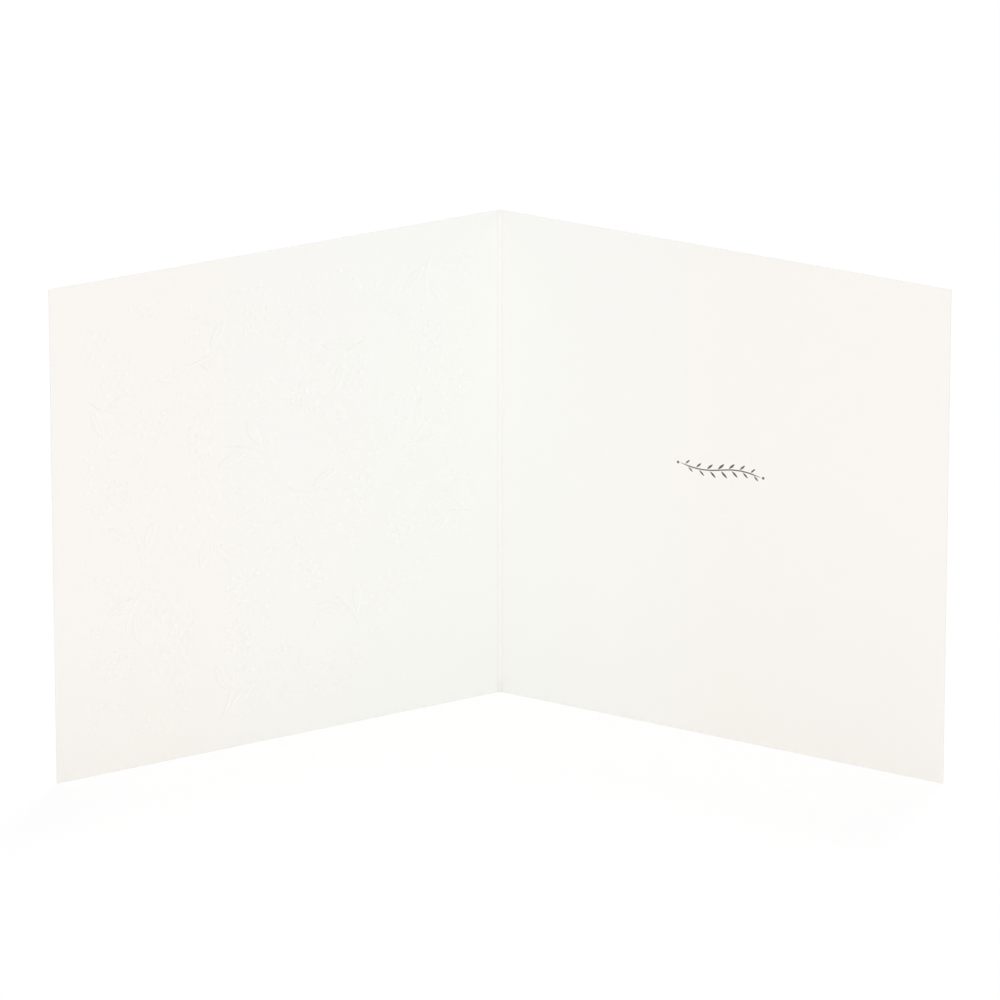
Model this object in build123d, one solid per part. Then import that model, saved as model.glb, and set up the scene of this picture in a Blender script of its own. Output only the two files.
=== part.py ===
# A square greeting card of one folded sheet of board, standing half open on its lower edge.
# The front panel, on the left, carries a blind relief: raised outside, sunk inside.
# X runs from panel to panel, Y from the free edges back to the fold, and Z up the fold.

from build123d import *
from math import cos, radians, sin, sqrt
import os

# The folded sheet, in millimetres and degrees
panel_width = 150.0       # from the inner corner of the fold to each free edge
panel_height = 150.0      # from the table to the top edge
board = 0.4               # thickness of the sheet
opening = 117.5           # between the two inner faces

# The fold, scored along its outside, so that the board swells into a ridge inside
fold_radius = 0.7         # outside of the bend
crease_width = 1.4        # between the two feet of the inner ridge, along the board
crease_swell = 0.15       # how far the ridge rises above the chord of its feet

# The relief, a field of sprigs pressed through the front panel
relief = 0.25             # how far the outer face is raised and the inner face sunk
draft = 45.0              # slope of the sides of a stem or leaf
border = 24.0             # from the panel's edges to the middle of the nearest sprig
sprig_columns = 4
sprig_rows = 4            # in every other column, the rest having one less
bare_corner = 60.0        # no sprig is nearer than this to the foot of the fold
golden_angle = 137.5      # each sprig, and each seed in a head, turns by this from the last

# One sprig: a bowed stem, two leaves and a round head of seeds
stem_length = 19.0
stem_width = 1.1
stem_bow = 1.8            # rise of the stem's middle above its ends
leaf_length = 10.5
leaf_width = 3.7
leaf_angle = 38.0         # between a leaf and the stem
leaf_gap = 0.7            # between a leaf's foot and the side of the stem
leaf_places = (0.3, 0.55)  # along the stem, one leaf on each side
head_gap = 0.8            # between the stem's tip and the nearest seeds
seeds_per_head = 17
seed_size = 1.8           # across the corners of one seed
seed_spacing = 1.45       # a seed's distance from the head's middle, times the root of its turn

lean = radians((180 - opening) / 2)     # of each panel, from the X axis


def along_panel(side, distance, depth=0.0):
    # A point of the section: side is -1 for the front panel and 1 for the back one,
    # distance is from the fold, and depth is from the inner face into the board
    return (side * (distance * cos(lean) + depth * sin(lean)),
            depth * cos(lean) - distance * sin(lean))


def sheet_section():
    outer_corner = (0, board / cos(lean))
    outline = Polyline(along_panel(-1, panel_width), (0, 0), along_panel(1, panel_width),
                       along_panel(1, panel_width, board), outer_corner,
                       along_panel(-1, panel_width, board), close=True)
    sheet = make_face(outline)
    return fillet(sheet.vertices().sort_by(Axis.Y)[-1], fold_radius)


def crease_section():
    front_foot = along_panel(-1, crease_width / 2)
    back_foot = along_panel(1, crease_width / 2)
    crest = (0, front_foot[1] - crease_swell)
    inside_board = (0, board / 2)
    return make_face([ThreePointArc(front_foot, crest, back_foot),
                      Polyline(back_foot, inside_board, front_foot)])


def folded_sheet():
    return extrude(sheet_section() + crease_section(), amount=panel_height)


def pressed_shape(length, low_rise, high_rise):
    # A stem or leaf between two arcs, from the origin along X, given by the arcs' middles
    start, end = (0, 0), (length, 0)
    outline = make_face([ThreePointArc(start, (length / 2, low_rise), end),
                         ThreePointArc(end, (length / 2, high_rise), start)])
    return extrude(outline, amount=relief, taper=draft)


def stem():
    return pressed_shape(stem_length, stem_bow - stem_width / 2, stem_bow + stem_width / 2)


def leaf(place, side):
    # Seated beside the stem at a share of its length, on one side of it
    stem_rise = stem_bow * (1 - (2 * place - 1) ** 2)
    foot = stem_rise + side * (stem_width / 2 + leaf_gap)
    shape = pressed_shape(leaf_length, -leaf_width / 2, leaf_width / 2)
    return Pos(stem_length * place, foot, 0) * Rot(0, 0, side * leaf_angle) * shape


def seed_head():
    # Seeds on a spiral, each small enough to be a low pyramid with six sides
    seed = loft([RegularPolygon(seed_size / 2, 6).face(), Vertex(0, 0, relief)])
    return [Rot(0, 0, golden_angle * number) * Pos(seed_spacing * sqrt(number + 0.5), 0, 0) * seed
            for number in range(seeds_per_head)]


def sprig():
    # Centred on the origin, growing along X
    head_radius = seed_spacing * sqrt(seeds_per_head) + seed_size / 2
    head_middle = stem_length + head_gap + head_radius
    pieces = [stem(), leaf(leaf_places[0], 1), leaf(leaf_places[1], -1)]
    pieces += [Pos(head_middle, 0, 0) * seed for seed in seed_head()]
    sprig_length = head_middle + head_radius
    return [Pos(-sprig_length / 2, 0, 0) * piece for piece in pieces]


def sprig_places():
    # Across and up the front panel, in columns set half a step against each other
    column_step = (panel_width - 2 * border) / (sprig_columns - 1)
    row_step = (panel_height - 2 * border) / (sprig_rows - 1)
    places = []
    for column in range(sprig_columns):
        across = border + column * column_step
        short = column % 2
        for row in range(sprig_rows - short):
            up = border + (row + short / 2) * row_step
            if sqrt(across ** 2 + up ** 2) > bare_corner:
                places.append((across, up))
    return places


def relief_motifs():
    # In the front panel's own plane: X from the fold, Y up, Z out of the card
    pieces = sprig()
    return [Pos(across, up, 0) * Rot(0, 0, golden_angle * number) * piece
            for number, (across, up) in enumerate(sprig_places())
            for piece in pieces]


def card():
    toward_edge = (-cos(lean), -sin(lean), 0)
    outward = (-sin(lean), cos(lean), 0)
    outer_face = Plane(origin=(*along_panel(-1, 0, board), 0), x_dir=toward_edge, z_dir=outward)
    inner_face = outer_face.offset(-board)
    motifs = relief_motifs()
    raised = folded_sheet() + [outer_face * motif for motif in motifs]
    pressed = raised - [inner_face * motif for motif in motifs]
    box = pressed.bounding_box()
    return Pos(-box.center().X, -box.center().Y, -box.min.Z) * pressed


os.makedirs("parts", exist_ok=True)
export_step(card(), "parts/card.step")
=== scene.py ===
import random
from math import cos, hypot, pi, radians, sin, sqrt

import bmesh
import bpy
import numpy as np
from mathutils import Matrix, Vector, noise
from mathutils.geometry import delaunay_2d_cdt


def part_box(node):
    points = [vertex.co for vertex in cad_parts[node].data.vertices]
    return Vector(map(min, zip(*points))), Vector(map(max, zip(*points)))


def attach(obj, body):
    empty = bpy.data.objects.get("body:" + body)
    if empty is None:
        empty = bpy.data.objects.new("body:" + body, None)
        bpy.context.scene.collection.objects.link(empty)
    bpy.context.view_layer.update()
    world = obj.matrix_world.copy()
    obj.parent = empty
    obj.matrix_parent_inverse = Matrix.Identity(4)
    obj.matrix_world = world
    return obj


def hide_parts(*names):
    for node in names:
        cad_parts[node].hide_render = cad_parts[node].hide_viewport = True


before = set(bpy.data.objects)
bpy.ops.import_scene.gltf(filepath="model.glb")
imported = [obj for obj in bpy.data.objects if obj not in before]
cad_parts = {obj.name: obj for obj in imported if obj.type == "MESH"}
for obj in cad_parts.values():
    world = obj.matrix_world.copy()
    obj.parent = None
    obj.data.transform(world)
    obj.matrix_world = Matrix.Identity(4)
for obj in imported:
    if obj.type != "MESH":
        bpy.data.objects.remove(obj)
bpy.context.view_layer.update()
low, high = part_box("card")
print("frame loaded, the card is", [round((b - a) * 1000, 1) for a, b in zip(low, high)], "mm")

# The folded sheet, in millimetres and degrees
sheet = {
    "width": 150.0,        # of each panel, from the inner corner of the fold to the free edge
    "height": 150.0,
    "board": 0.4,
    "opening": 117.5,      # between the inner faces
    "foldRadius": 0.7,     # outside of the bend
    "noseReach": 0.35,     # from the middle of the bend to where the flat outer face begins
    "creaseWidth": 1.4,    # of the ridge inside the fold, along the board
    "creaseSwell": 0.15,   # the ridge's rise above its own feet
    "grooveWidth": 0.56,   # of the scored groove along each foot of the ridge
    "grooveDepth": 0.08,
    "cutRounding": 0.05,   # where the die has rolled the cut edges over
    "foldSteps": 12,       # of the mesh, on each side of the fold
    "meshStep": 5.0,       # between the mesh's lines on plain board
    "meshSpare": 0.3,      # share of a step that stays free of lines at a panel's ends
    "meshClear": 0.9,      # at least, from a crossing of those lines to a corner of an outline
}
width, board = sheet["width"], sheet["board"]
lean = radians((180 - sheet["opening"]) / 2)    # of a panel, from the X axis
noseDepth = (board - sheet["foldRadius"] * (1 - cos(lean))) / cos(lean)
foldFoot = Vector(((low.x + high.x) / 2, high.y - noseDepth / 1000, low.z))
front, back = -1, 1                             # the panels' sides of the fold


def sectionPoint(side, across, depth):
    # on the card's section, in millimetres from the inner corner; depth goes into the board
    return (side * (across * cos(lean) + depth * sin(lean)),
            depth * cos(lean) - across * sin(lean))


def inFrame(point, up):
    return foldFoot + Vector((point[0], point[1], up)) / 1000


def outOf(side, depth):
    # the way a panel's inner face looks, or its outer face for a depth above 0
    way = 1 if depth > 0 else -1
    return Vector((side * sin(lean), cos(lean), 0)) * way


# The card's mesh. Faces join where their corners are at the same place, and what is plain
# board has its normals set, so that no relief or rounded edge shades it
class SheetMesh:
    stepsPerMetre = 1e8    # corners less than about one step apart are the same corner

    def __init__(self):
        self.numbers, self.points, self.faces, self.finishes, self.normals = {}, [], [], [], {}

    def face(self, places, finish, normal=None):
        corners = []
        for place in places:
            key = tuple(round(c * self.stepsPerMetre) for c in place)
            number = self.numbers.setdefault(key, len(self.points))
            if number == len(self.points):
                self.points.append(place)
            if number not in corners:
                corners.append(number)
            if normal:
                self.normals[number] = normal
        if len(corners) > 2:
            self.faces.append(corners)
            self.finishes.append(finish)

    def strip(self, lineA, lineB, finish, normal=None):
        for a, b, c, d in zip(lineA, lineA[1:], lineB[1:], lineB):
            self.face((a, b, c, d), finish, normal)

    def build(self, name, materials):
        mesh = bpy.data.meshes.new(name)
        mesh.from_pydata(self.points, [], self.faces)
        mesh.polygons.foreach_set("material_index", self.finishes)
        for material in materials:
            mesh.materials.append(material)
        shape = bmesh.new()
        shape.from_mesh(mesh)
        bmesh.ops.recalc_face_normals(shape, faces=shape.faces)
        openEdges = sum(not edge.is_manifold for edge in shape.edges)
        shape.to_mesh(mesh)
        shape.free()
        mesh.shade_smooth()
        normals = [self.normals.get(v.index, v.normal) for v in mesh.vertices]
        mesh.normals_split_custom_set_from_vertices(normals)
        print(name, len(self.points), "corners,", len(self.faces), "faces,", openEdges, "open edges")
        piece = bpy.data.objects.new(name, mesh)
        bpy.context.scene.collection.objects.link(piece)
        return piece


# The relief pressed through the front panel: sprigs, then small flowers and loose seeds between.
# Rings are shares of a dome's radius, and lines are shares of a leaf's half width, at which
# the mesh has a line of corners
relief = {
    "height": 0.25,
    "border": 24.0,        # from the panel's edges to the middle of the nearest sprig
    "columns": 4,
    "rows": 4,             # in every other column, the rest having one less
    "bareCorner": 60.0,    # no sprig is nearer than this to the foot of the fold
    "goldenAngle": radians(137.5),
    "flank": 0.45,         # width of the sloping side of a leaf or stem
    "domeSides": 12,
    "veinReach": 0.3,      # from a leaf's middle line
    "veinFade": (0.25, 0.75),    # shares of the leaf's width between which the vein fades
}
sprigForm = {
    "stemLength": 19.0, "stemWidth": 1.1, "stemBow": 1.8, "stemLines": (0.35, 0.7, 1),
    "leafLength": 10.5, "leafWidth": 3.7, "leafAngle": radians(38.0), "leafGap": 0.7,
    "leafLines": (0.14, 0.4, 0.66, 0.84, 1), "leafPlaces": (0.3, 0.55), "steps": 16,
    "vein": 0.4,           # share of a leaf's height that its middle vein takes back
    "headGap": 0.8, "seeds": 17, "seedSize": 1.8, "seedSpacing": 1.45,
    "seedRings": (1, 0.75, 0.4),
}
flowerForm = {
    "height": 0.18, "eye": 0.8, "eyeRings": (1, 0.7, 0.35),
    "petals": 7, "petalLength": 2.6, "petalWidth": 1.2, "petalFoot": 1.25, "petalFlank": 0.42,
    "petalLines": (0.5, 1), "petalSteps": 6,
    "gap": 1.0, "step": 2.3, "shift": 0.0, "turn": 0.7, "margin": 13.0, "bareCorner": 54.0,
    "patchSize": 30.0, "patchHeight": 3.0, "patchLevel": 0.14,
}
looseForm = {
    "height": 0.17, "radius": 0.92, "rings": (1, 0.72, 0.35),
    "gap": 0.5, "step": 3.05, "shift": 0.4, "turn": 0.7, "margin": 9.5, "bareCorner": 50.0,
    "patchSize": 15.0, "patchHeight": 7.0, "patchLevel": -0.02,
}
scatter = {
    "seed": 11,
    "rowShare": 0.87,      # of the step across, from one row of places to the next
}


# Motifs are patches of the relief: places across and up, and a height above the board
class Motif:
    def __init__(self, places, faces, outline):
        self.places, self.faces, self.outline = places, faces, outline

    def moved(self, across, up, turn=0.0):
        c, s = cos(turn), sin(turn)
        places = [(across + c * x - s * y, up + s * x + c * y, h) for x, y, h in self.places]
        return Motif(places, self.faces, self.outline)

    def rim(self):
        return [self.places[number][:2] for number in self.outline]


def softStep(share):
    share = min(max(share, 0.0), 1.0)
    return share * share * (3 - 2 * share)


def dome(radius, height, rings):
    # rings go from the rim inwards
    sides = relief["domeSides"]
    places, faces = [], []
    for ring in rings:
        rise = height * (1 - ring ** 2)
        for number in range(sides):
            turn = 2 * pi * number / sides
            places.append((ring * radius * cos(turn), ring * radius * sin(turn), rise))
    places.append((0.0, 0.0, height))
    for ring in range(len(rings)):
        for number in range(sides):
            a = ring * sides + number
            b = ring * sides + (number + 1) % sides
            if ring + 1 < len(rings):
                faces.append((a, b, b + sides, a + sides))
            else:
                faces.append((a, b, len(places) - 1))
    return Motif(places, faces, list(range(sides)))


def blade(length, width, height, flank, steps, lines, bow=0.0, vein=0.0):
    # a pointed shape between two arcs about a bowed middle line, for leaves, stems and petals
    shares = [-share for share in reversed(lines)] + [0.0] + list(lines)
    fadeFrom, fadeTo = relief["veinFade"]
    places, faces = [(0.0, 0.0, 0.0)], []
    for step in range(1, steps):
        along = 0.5 - 0.5 * cos(pi * step / steps)
        bulge = 4 * along * (1 - along)
        halfWidth = width / 2 * bulge
        fade = softStep((bulge - fadeFrom) / (fadeTo - fadeFrom))
        for share in shares:
            rise = height * softStep(halfWidth * (1 - abs(share)) / flank)
            sunk = vein * max(0.0, 1 - abs(share) * halfWidth / relief["veinReach"]) * fade
            places.append((along * length, bow * bulge + share * halfWidth, rise * (1 - sunk)))
    places.append((length, 0.0, 0.0))
    count = len(shares)
    last = len(places) - 1
    for row in range(count - 1):
        faces.append((0, 1 + row, 2 + row))
        for step in range(steps - 2):
            a = 1 + step * count + row
            faces.append((a, a + count, a + count + 1, a + 1))
        faces.append((last - count + row, last, last - count + row + 1))
    lowSide = [1 + step * count for step in range(steps - 1)]
    highSide = [number + count - 1 for number in lowSide]
    return Motif(places, faces, [0] + lowSide + [last] + highSide[::-1])


def sprigMotifs():
    form, height, turn = sprigForm, relief["height"], relief["goldenAngle"]
    headRadius = form["seedSpacing"] * sqrt(form["seeds"]) + form["seedSize"] / 2
    headMiddle = form["stemLength"] + form["headGap"] + headRadius
    middle = (headMiddle + headRadius) / 2
    stem = blade(form["stemLength"], form["stemWidth"], height, relief["flank"], form["steps"],
                 form["stemLines"], bow=form["stemBow"])
    leaf = blade(form["leafLength"], form["leafWidth"], height, relief["flank"], form["steps"],
                 form["leafLines"], vein=form["vein"])
    seed = dome(form["seedSize"] / 2, height, form["seedRings"])
    motifs = [stem.moved(-middle, 0)]
    for side, place in zip((1, -1), form["leafPlaces"]):
        rise = form["stemBow"] * (1 - (2 * place - 1) ** 2)
        foot = rise + side * (form["stemWidth"] / 2 + form["leafGap"])
        motifs.append(leaf.moved(form["stemLength"] * place - middle, foot, side * form["leafAngle"]))
    for number in range(form["seeds"]):
        distance = form["seedSpacing"] * sqrt(number + 0.5)
        motifs.append(seed.moved(headMiddle - middle + distance * cos(turn * number),
                                 distance * sin(turn * number)))
    return motifs


def sprigPlaces():
    columnStep = (width - 2 * relief["border"]) / (relief["columns"] - 1)
    rowStep = (sheet["height"] - 2 * relief["border"]) / (relief["rows"] - 1)
    for column in range(relief["columns"]):
        across = relief["border"] + column * columnStep
        short = column % 2
        for row in range(relief["rows"] - short):
            up = relief["border"] + (row + short / 2) * rowStep
            if hypot(across, up) > relief["bareCorner"]:
                yield across, up


def flowerMotifs():
    form = flowerForm
    petal = blade(form["petalLength"], form["petalWidth"], form["height"], form["petalFlank"],
                  form["petalSteps"], form["petalLines"]).moved(form["petalFoot"], 0)
    turns = [2 * pi * number / form["petals"] for number in range(form["petals"])]
    eye = dome(form["eye"], form["height"], form["eyeRings"])
    return [eye] + [petal.moved(0, 0, turn) for turn in turns]


def openPlaces(form):
    # a grid of places across and up the panel, in patches and outside the bare corner
    draw = random.Random(scatter["seed"])
    shift, step, margin, rowShare = form["shift"], form["step"], form["margin"], scatter["rowShare"]
    lift = Vector((0, 0, form["patchHeight"]))
    for row in range(int((sheet["height"] - 2 * margin) / step / rowShare) + 1):
        for column in range(int((width - 2 * margin) / step) + 1):
            across = margin + (column + 0.5 * (row % 2)) * step + draw.uniform(-1, 1) * shift
            up = margin + rowShare * row * step + draw.uniform(-1, 1) * shift
            cloud = noise.noise(Vector((across, up, 0)) / form["patchSize"] + lift)
            onPanel = across < width - margin and hypot(across, up) > form["bareCorner"]
            if cloud > form["patchLevel"] and onPanel:
                yield across, up


def reliefMotifs():
    motifs = []
    sprig = sprigMotifs()
    for number, (across, up) in enumerate(sprigPlaces()):
        motifs += [motif.moved(across, up, relief["goldenAngle"] * number) for motif in sprig]
    print(len(motifs), "motifs in the sprigs")
    taken = np.array([place[:2] for motif in motifs for place in motif.places])
    seed = dome(looseForm["radius"], looseForm["height"], looseForm["rings"])
    for name, form, group in (("flowers", flowerForm, flowerMotifs()),
                              ("loose seeds", looseForm, [seed])):
        reach = max(hypot(x, y) for motif in group for x, y, h in motif.places) + form["gap"]
        count = 0
        for across, up in openPlaces(form):
            if np.hypot(taken[:, 0] - across, taken[:, 1] - up).min() > reach:
                placed = [motif.moved(across, up, form["turn"] * count) for motif in group]
                spots = [place[:2] for motif in placed for place in motif.places]
                taken = np.vstack([taken, spots])
                motifs += placed
                count += 1
        print(count, name)
    return motifs


# The small printed ornament inside the back panel: a waved line with leaves on both sides of it
# and a berry at each end
mark = {
    "across": 75.0, "up": 82.7,      # its middle on the panel
    "length": 27.0, "line": 0.38, "wave": 0.9, "lineSteps": 48,
    "taper": 4.0, "tip": 0.25,       # how fast the line thickens from its tips, and their share of it
    "leaves": 7, "leafLength": 2.9, "leafWidth": 0.74, "leafAngle": radians(42.0), "leafSteps": 8,
    "leafGap": 0.12,
    "lead": 0.6, "spare": 0.4,       # in leaf steps: before the first leaf, and beyond one for each
    "stagger": 0.5,                  # of the leaves above and below, from their common place
    "shrink": 0.35,                  # of the leaves, from the middle to an end
    "berry": 0.42, "berryGap": 0.35,
}


def markOutlines():
    # closed outlines across and up the back panel, none touching another
    half = mark["length"] / 2

    def middleLine(along):
        return mark["wave"] * sin(pi * along / half)

    upper, lower = [], []
    for number in range(mark["lineSteps"] + 1):
        along = -half + mark["length"] * number / mark["lineSteps"]
        share = min(1.0, mark["taper"] * (1 - abs(along) / half) + mark["tip"])
        thickness = mark["line"] / 2 * share
        upper.append((along, middleLine(along) + thickness))
        lower.append((along, middleLine(along) - thickness))
    outlines = [lower + upper[::-1]]
    for number in range(mark["leaves"]):
        foot = -half + mark["length"] * (number + mark["lead"]) / (mark["leaves"] + mark["spare"])
        size = 1 - mark["shrink"] * abs(foot) / half
        for side in (1, -1):
            leaf = blade(mark["leafLength"] * size, mark["leafWidth"] * size, 0, 1,
                         mark["leafSteps"], (1,))
            start = foot - side * mark["stagger"]
            rise = middleLine(start) + side * (mark["line"] / 2 + mark["leafGap"])
            outlines.append(leaf.moved(start, rise, side * mark["leafAngle"]).rim())
    berry = dome(mark["berry"], 0, (1,))
    for end in (-1, 1):
        outlines.append(berry.moved(end * (half + mark["berry"] + mark["berryGap"]), 0).rim())
    return [[(mark["across"] + x, mark["up"] + y) for x, y in outline] for outline in outlines]


def meshLines(start, end):
    # whole steps apart, and a little more or less at the two ends
    step = sheet["meshStep"]
    spare = sheet["meshSpare"] * step
    whole = [step * n for n in range(1, int(end / step) + 1)]
    return [start] + [place for place in whole if start + spare < place < end - spare] + [end]


rounding = sheet["cutRounding"]
foldReach = sheet["creaseWidth"] / 2 + sheet["grooveWidth"] / 2    # where the plain panels begin
acrossLines = meshLines(foldReach, width - rounding)
upLines = meshLines(rounding, sheet["height"] - rounding)


def panelTriangles(outlines):
    # Triangles that fill a panel's plain face round the outlines, corner to corner with them.
    # Gives the places and, for each triangle, its corners and whether it is inside an outline
    left, right, bottom, top = acrossLines[0], acrossLines[-1], upLines[0], upLines[-1]
    places = [(x, bottom) for x in acrossLines] + [(right, y) for y in upLines[1:]]
    places += [(x, top) for x in acrossLines[-2::-1]] + [(left, y) for y in upLines[-2:0:-1]]
    edges = [(n, (n + 1) % len(places)) for n in range(len(places))]
    drawn = np.array([place for outline in outlines for place in outline]).reshape(-1, 2)
    loops = []
    for outline in outlines:
        loops.append(list(range(len(places), len(places) + len(outline))))
        places += outline
    for x in acrossLines[1:-1]:
        for y in upLines[1:-1]:
            distances = np.hypot(drawn[:, 0] - x, drawn[:, 1] - y)
            if distances.min(initial=np.inf) > sheet["meshClear"]:
                places.append((x, y))
    wholeArea, tolerance = 0, 1e-7
    found = delaunay_2d_cdt([Vector(place) for place in places], edges, loops, wholeArea, tolerance)
    triangles, origins, inLoops = found[2], found[3], found[5]
    return places, [([origins[n][0] for n in corners], bool(loop))
                    for corners, loop in zip(triangles, inLoops)]


def foldLines():
    # the section's lines inside and outside the fold, from the front panel to the back one
    half, swell, depth = sheet["creaseWidth"] / 2, sheet["creaseSwell"], sheet["grooveDepth"]
    foot = sectionPoint(back, half, 0)
    radius = (foot[0] ** 2 + swell ** 2) / (2 * swell)
    turn = np.arcsin(foot[0] / radius)
    bend, reach = sheet["foldRadius"], sheet["noseReach"]
    noseMiddle = (board - bend) / cos(lean)
    inner, outer = [], []
    for step in range(-sheet["foldSteps"], sheet["foldSteps"] + 1):
        side = back if step > 0 else front
        across = abs(step) / sheet["foldSteps"] * foldReach
        if across < half:
            angle = side * turn * across / half
            x, y = radius * sin(angle), foot[1] - swell + radius * (1 - cos(angle))
        else:
            x, y = sectionPoint(side, across, 0)
        groove = depth * (1 - softStep(abs(across - half) / (sheet["grooveWidth"] / 2)))
        inner.append((x + groove * side * sin(lean), y + groove * cos(lean)))
        if across < reach:
            angle = side * lean * across / reach
            outer.append((bend * sin(angle), noseMiddle + bend * cos(angle)))
        else:
            outer.append(sectionPoint(side, across, board))
    return inner, outer


# Ribs run through the board, each from a point of its inside to one of its outside
def plainRibs(side):
    return [(sectionPoint(side, across, 0), sectionPoint(side, across, board))
            for across in acrossLines[1:]]


def edgeRib(side):
    return sectionPoint(side, width, rounding), sectionPoint(side, width, board - rounding)


def drawnIn(rib):
    (xA, yA), (xB, yB) = rib
    share = rounding / hypot(xB - xA, yB - yA)
    x, y = (xB - xA) * share, (yB - yA) * share
    return (xA + x, yA + y), (xB - x, yB - y)


insideFinish, outsideFinish, cutFinish, inkFinish = range(4)


def cardPiece(materials):
    mesh = SheetMesh()

    def fillPanel(side, depth, outlines, plainFinish, loopFinish=None):
        places, triangles = panelTriangles(outlines)
        spots = [inFrame(sectionPoint(side, x, depth), y) for x, y in places]
        for corners, inLoop in triangles:
            finish = loopFinish if inLoop else plainFinish
            if finish is not None:
                mesh.face([spots[n] for n in corners], finish, outOf(side, depth))

    motifs = reliefMotifs()
    for depth, finish in ((0, insideFinish), (board, outsideFinish)):
        for motif in motifs:
            spots = [inFrame(sectionPoint(front, x, depth + h), y) for x, y, h in motif.places]
            for corners in motif.faces:
                mesh.face([spots[n] for n in corners], finish)
        fillPanel(front, depth, [motif.rim() for motif in motifs], finish)
    fillPanel(back, 0, markOutlines(), insideFinish, inkFinish)
    fillPanel(back, board, [], outsideFinish)
    print("panels filled")

    # The fold and the free edges first, level by level, then the top and lower edges
    def strip(lineA, upA, lineB, upB, finish, normal=None):
        mesh.strip([inFrame(p, upA) for p in lineA], [inFrame(p, upB) for p in lineB], finish, normal)

    fold = list(zip(*foldLines()))
    for a, b in zip(upLines, upLines[1:]):
        for face, finish in ((0, insideFinish), (1, outsideFinish)):
            line = [rib[face] for rib in fold]
            strip(line, a, line, b, finish)
        for side in (front, back):
            edge, last = edgeRib(side), plainRibs(side)[-1]
            strip(edge, a, edge, b, cutFinish, Vector((side * cos(lean), -sin(lean), 0)))
            for face in (0, 1):
                strip((edge[face], last[face]), a, (edge[face], last[face]), b, cutFinish)
    ribs = plainRibs(front)[::-1] + fold + plainRibs(back)
    shortRibs = [drawnIn(rib) for rib in ribs]
    ribs = [edgeRib(front)] + ribs + [edgeRib(back)]
    shortRibs = [shortRibs[0]] + shortRibs + [shortRibs[-1]]
    for level, rim, way in ((0, rounding, -1), (sheet["height"], sheet["height"] - rounding, 1)):
        capLines = list(zip(*shortRibs))
        strip(capLines[0], level, capLines[1], level, cutFinish, Vector((0, 0, way)))
        for rimLine, capLine in zip(zip(*ribs), capLines):
            strip(rimLine, rim, capLine, level, cutFinish)
        for number in (0, -1):
            strip(ribs[number], rim, shortRibs[number], level, cutFinish)
    return mesh.build("folded_sheet", materials)


# Shader maths
class Wire:
    # a socket that can stand in a sum; the sum adds its Math node
    def __init__(self, tree, socket=None):
        self.tree, self.socket = tree, socket

    def node(self, kind, settings=None, sockets=None, out=0):
        made = self.tree.nodes.new(kind)
        for name, value in (settings or {}).items():
            setattr(made, name, value)
        for name, value in (sockets or {}).items():
            if isinstance(value, Wire):
                self.tree.links.new(value.socket, made.inputs[name])
            else:
                made.inputs[name].default_value = value
        return Wire(self.tree, made.outputs[out] if made.outputs else None)

    def maths(self, operation, first, second):
        return self.node("ShaderNodeMath", {"operation": operation}, {0: first, 1: second})

    def __add__(self, other):
        return self.maths("ADD", self, other)

    def __sub__(self, other):
        return self.maths("SUBTRACT", self, other)

    def __rsub__(self, other):
        return self.maths("SUBTRACT", other, self)

    def __mul__(self, other):
        return self.maths("MULTIPLY", self, other)

    def __truediv__(self, other):
        return self.maths("DIVIDE", self, other)

    def __rtruediv__(self, other):
        return self.maths("DIVIDE", other, self)

    __radd__, __rmul__ = __add__, __mul__

    def size(self):
        return self.node("ShaderNodeMath", {"operation": "ABSOLUTE"}, {0: self})

    def clamped(self):
        return self.node("ShaderNodeClamp", None, {"Value": self})

    def mixed(self, colourA, colourB):
        # this value is the share of colourB
        a, b = [c if isinstance(c, Wire) else (*c, 1.0) for c in (colourA, colourB)]
        return self.node("ShaderNodeMix", {"data_type": "RGBA"}, {0: self, 6: a, 7: b}, 2)


def newMaterial(name):
    material = bpy.data.materials.new(name)
    material.use_nodes = True
    material.node_tree.nodes.clear()
    return material, Wire(material.node_tree)


def grain(place, size, detail=2.0, drawnOut=(1, 1, 1)):
    # noise whose features are about this size in metres, longer along the axes drawn out
    scale = [1 / (size * times) for times in drawnOut]
    spread = place.node("ShaderNodeMapping", None, {"Vector": place, "Scale": scale})
    return place.node("ShaderNodeTexNoise", None, {"Vector": spread, "Scale": 1.0, "Detail": detail})


insideBoard = {    # uncoated, for writing on
    "pale": (0.924, 0.900, 0.863), "dark": (0.912, 0.887, 0.850), "paintedFoldLight": (0.912, 0.913, 0.882),
    "roughness": 0.86, "toothDepth": 0.00003, "toothStrength": 0.3,
}
outsideBoard = {   # lightly coated
    "pale": (0.928, 0.918, 0.885), "dark": (0.918, 0.908, 0.874), "paintedFoldLight": (0.923, 0.914, 0.881),
    "roughness": 0.58, "toothDepth": 0.000018, "toothStrength": 0.25,
}
boardGrain = {     # the sizes in metres, and how far they are drawn out along X, Y and Z
    "clouds": 0.007, "fibres": 0.0007, "tooth": 0.00035, "detail": 3.0,
    "level": (3.0, 3.0, 0.6), "upright": (0.5, 0.5, 4.0),
    "toothShare": 0.6,           # of the bump, the fibres having the rest
    "glossRange": 0.15,          # of the roughness, from fibre to fibre
}
score = {          # what folding does to the board, with shade painted along the crease and a light tint painted beside the fold, in metres from the fold
    "strained": 0.0012, "strainHeight": 1.2,
    # painted shade: a darker colour along the crease ridge and its grooves
    "pressed": 0.0011, "pressedBlur": 0.0003, "pressedColour": (0.899, 0.891, 0.858),
    "coolMiddle": -0.014, "coolReach": 0.079,    # of the cooler tint of painted light and shade beside the fold
}


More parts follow.
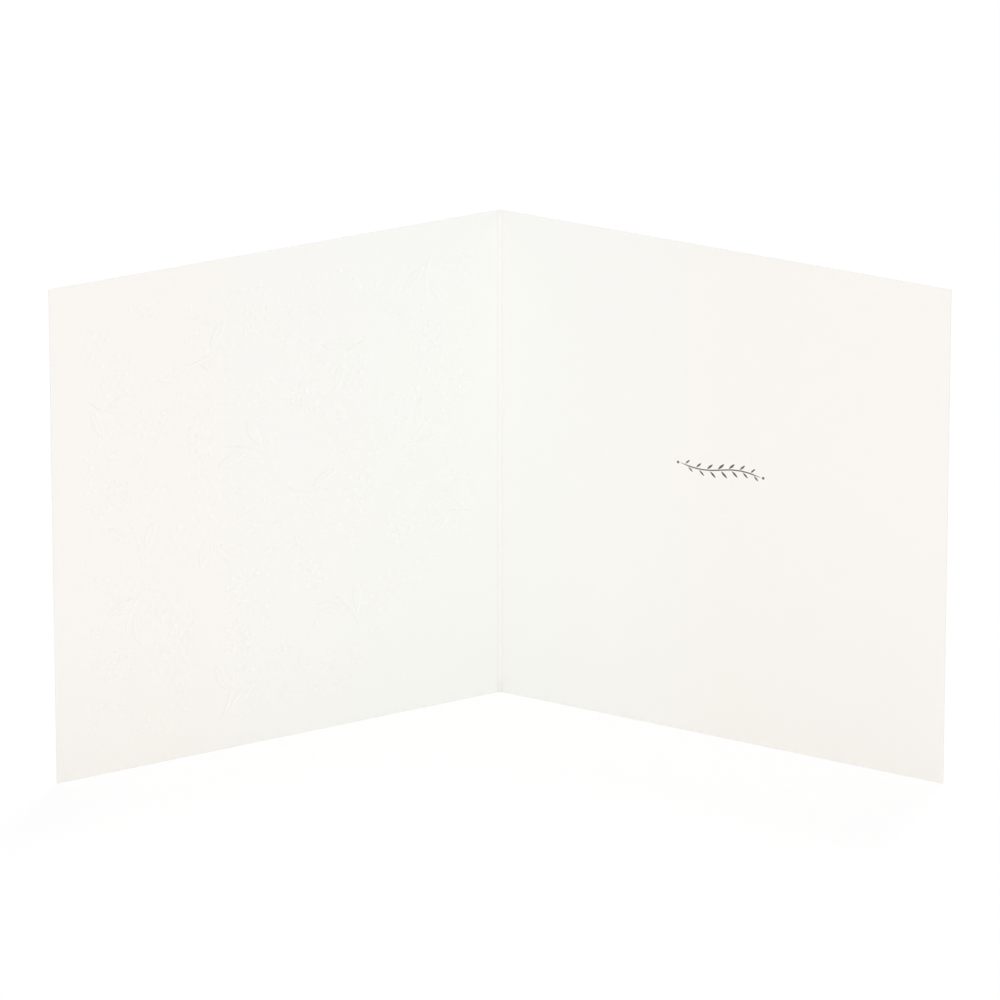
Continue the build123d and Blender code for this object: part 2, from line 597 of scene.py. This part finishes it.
def boardMaterial(name, look):
    material, wire = newMaterial(name)
    place = wire.node("ShaderNodeTexCoord", out="Object")
    detail = boardGrain["detail"]
    clouds = grain(place, boardGrain["clouds"], detail)
    levelFibres = grain(place, boardGrain["fibres"], detail, boardGrain["level"])
    uprightFibres = grain(place, boardGrain["fibres"], detail, boardGrain["upright"])
    fibres = 0.5 * (levelFibres + uprightFibres)
    tooth = grain(place, boardGrain["tooth"])
    x = place.node("ShaderNodeSeparateXYZ", None, {0: place}, "X")
    strained = (1 - x * x * score["strained"] ** -2).clamped()
    pressed = ((score["pressed"] - x.size()) / score["pressedBlur"]).clamped()
    paintedFoldLight = (x - score["coolMiddle"]) / score["coolReach"]
    tint = (0.5 * clouds + 0.5 * fibres).mixed(look["pale"], look["dark"])
    # painted light and shade: a cooler tint beside the fold, where the light between the panels falls, not
    # a colour of the board
    tint = (1 - paintedFoldLight * paintedFoldLight).clamped().mixed(tint, look["paintedFoldLight"])
    # painted shade: the crease ridge and its grooves are darkened in colour
    tint = pressed.mixed(tint, score["pressedColour"])
    toothShare = boardGrain["toothShare"]
    height = toothShare * tooth + (1 - toothShare) * fibres
    height = height + strained * uprightFibres * score["strainHeight"]
    bump = wire.node("ShaderNodeBump", None, {
        "Strength": look["toothStrength"], "Distance": look["toothDepth"], "Height": height})
    surface = wire.node("ShaderNodeBsdfPrincipled", None, {
        "Base Color": tint, "Normal": bump,
        "Roughness": look["roughness"] + (fibres - 0.5) * boardGrain["glossRange"]})
    wire.node("ShaderNodeOutputMaterial", None, {"Surface": surface})
    return material


cutBoard = {       # the plies of the board, and fibres torn by the die
    "colour": (0.88, 0.87, 0.845), "fibre": (0.945, 0.935, 0.91),
    "roughness": 0.9, "glossRange": 0.1,
    "plies": 0.00009, "drawnOut": (40, 1, 40), "pliesDetail": 2.0,
    "torn": 0.00025, "tornDetail": 3.0, "tornDepth": 0.00004, "tornStrength": 0.5,
}


def cutMaterial(name):
    material, wire = newMaterial(name)
    place = wire.node("ShaderNodeTexCoord", out="Object")
    plies = grain(place, cutBoard["plies"], cutBoard["pliesDetail"], cutBoard["drawnOut"])
    torn = grain(place, cutBoard["torn"], cutBoard["tornDetail"])
    bump = wire.node("ShaderNodeBump", None, {
        "Strength": cutBoard["tornStrength"], "Distance": cutBoard["tornDepth"], "Height": torn})
    surface = wire.node("ShaderNodeBsdfPrincipled", None, {
        "Base Color": (0.5 * plies + 0.5 * torn).mixed(cutBoard["colour"], cutBoard["fibre"]),
        "Roughness": cutBoard["roughness"] + (torn - 0.5) * cutBoard["glossRange"],
        "Normal": bump})
    wire.node("ShaderNodeOutputMaterial", None, {"Surface": surface})
    return material


ink = {
    "colour": (0.075, 0.058, 0.050), "thin": (0.16, 0.13, 0.115),
    "roughness": 0.55, "glossRange": 0.2, "coverage": 0.0004, "detail": 3.0,
}


def inkMaterial(name):
    material, wire = newMaterial(name)
    place = wire.node("ShaderNodeTexCoord", out="Object")
    coverage = grain(place, ink["coverage"], ink["detail"])
    surface = wire.node("ShaderNodeBsdfPrincipled", None, {
        "Base Color": coverage.mixed(ink["colour"], ink["thin"]),
        "Roughness": ink["roughness"] + (coverage - 0.5) * ink["glossRange"]})
    wire.node("ShaderNodeOutputMaterial", None, {"Surface": surface})
    return material


card = cardPiece([boardMaterial("board_inside", insideBoard), boardMaterial("board_outside", outsideBoard),
                  cutMaterial("board_cut"), inkMaterial("print_ink")])
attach(card, "root")
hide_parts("card")
print("card dressed")

# The studio: a white floor, even light from all round and three soft lamps
studio = {
    "floorSize": 8.0,
    "floorColour": (0.95, 0.95, 0.95, 1.0),
    "floorGlow": 0.80,       # how far the camera sees the floor as plain white
    "glowStrength": 1.02,
    "fill": 0.702,           # of the world's light
    "white": (1.0, 1.0, 1.0, 1.0),
    "aim": Vector((0, 0, 0.075)),
    "lamps": {               # watts, metres across and place
        "front": (11.5, 1.2, (0.15, -2.2, 0.45)),
        "top": (6.0, 1.2, (-0.2, -0.8, 2.2)),
        "rear": (11.0, 0.5, (0.33, 0.9, 2.1)),
    },
}


def makeFloor():
    mesh = bpy.data.meshes.new("floor")
    half = studio["floorSize"] / 2
    corners = [(-half, -half, low.z), (half, -half, low.z), (half, half, low.z), (-half, half, low.z)]
    mesh.from_pydata(corners, [], [(0, 1, 2, 3)])
    floor = bpy.data.objects.new("floor", mesh)
    bpy.context.scene.collection.objects.link(floor)
    material, wire = newMaterial("floor_white")
    seen = wire.node("ShaderNodeLightPath", out="Is Camera Ray")
    paint = wire.node("ShaderNodeBsdfDiffuse", None, {"Color": studio["floorColour"]})
    glow = wire.node("ShaderNodeEmission", None, {
        "Color": studio["white"], "Strength": studio["glowStrength"]})
    surface = wire.node("ShaderNodeMixShader", None, {0: seen * studio["floorGlow"], 1: paint, 2: glow})
    wire.node("ShaderNodeOutputMaterial", None, {"Surface": surface})
    mesh.materials.append(material)


def makeLight():
    world = bpy.data.worlds.new("studio")
    world.use_nodes = True
    world.node_tree.nodes.clear()
    wire = Wire(world.node_tree)
    seen = sum(wire.node("ShaderNodeLightPath", out=name)
               for name in ("Is Camera Ray", "Is Glossy Ray", "Is Transmission Ray")).clamped()
    fill, backdrop = [
        wire.node("ShaderNodeBackground", None, {"Color": studio["white"], "Strength": strength})
        for strength in (studio["fill"], 1.0)]
    surface = wire.node("ShaderNodeMixShader", None, {0: seen, 1: fill, 2: backdrop})
    wire.node("ShaderNodeOutputWorld", None, {"Surface": surface})
    bpy.context.scene.world = world
    for name, (power, size, place) in studio["lamps"].items():
        light = bpy.data.lights.new(name, "AREA")
        light.energy, light.size = power, size
        lamp = bpy.data.objects.new(name, light)
        lamp.location = place
        lamp.rotation_euler = (studio["aim"] - lamp.location).to_track_quat("-Z", "Y").to_euler()
        bpy.context.scene.collection.objects.link(lamp)


makeFloor()
makeLight()
print("studio lit")

# The camera stands far off, a little above the card, and has a long lens
camera = {
    "focal": 9.0631,             # picture widths
    "sensor": 36.0,              # millimetres across
    "distance": 16.907,          # card heights from the fold, along the floor
    "height": 6.164,             # card heights above the floor
    "down": radians(18.82),
    "farthest": 50.0,            # metres that it sees
}
lens = bpy.data.cameras.new("camera")
lens.sensor_width = camera["sensor"]
lens.lens = camera["focal"] * lens.sensor_width
lens.clip_end = camera["farthest"]
viewer = bpy.data.objects.new("camera", lens)
cardHeight = sheet["height"] / 1000
viewer.location = foldFoot + Vector((0, -camera["distance"], camera["height"])) * cardHeight
viewer.rotation_euler = (pi / 2 - camera["down"], 0, 0)
bpy.context.scene.collection.objects.link(viewer)
bpy.context.scene.camera = viewer
bpy.context.scene.view_settings.view_transform = "Standard"

print("scene ready")
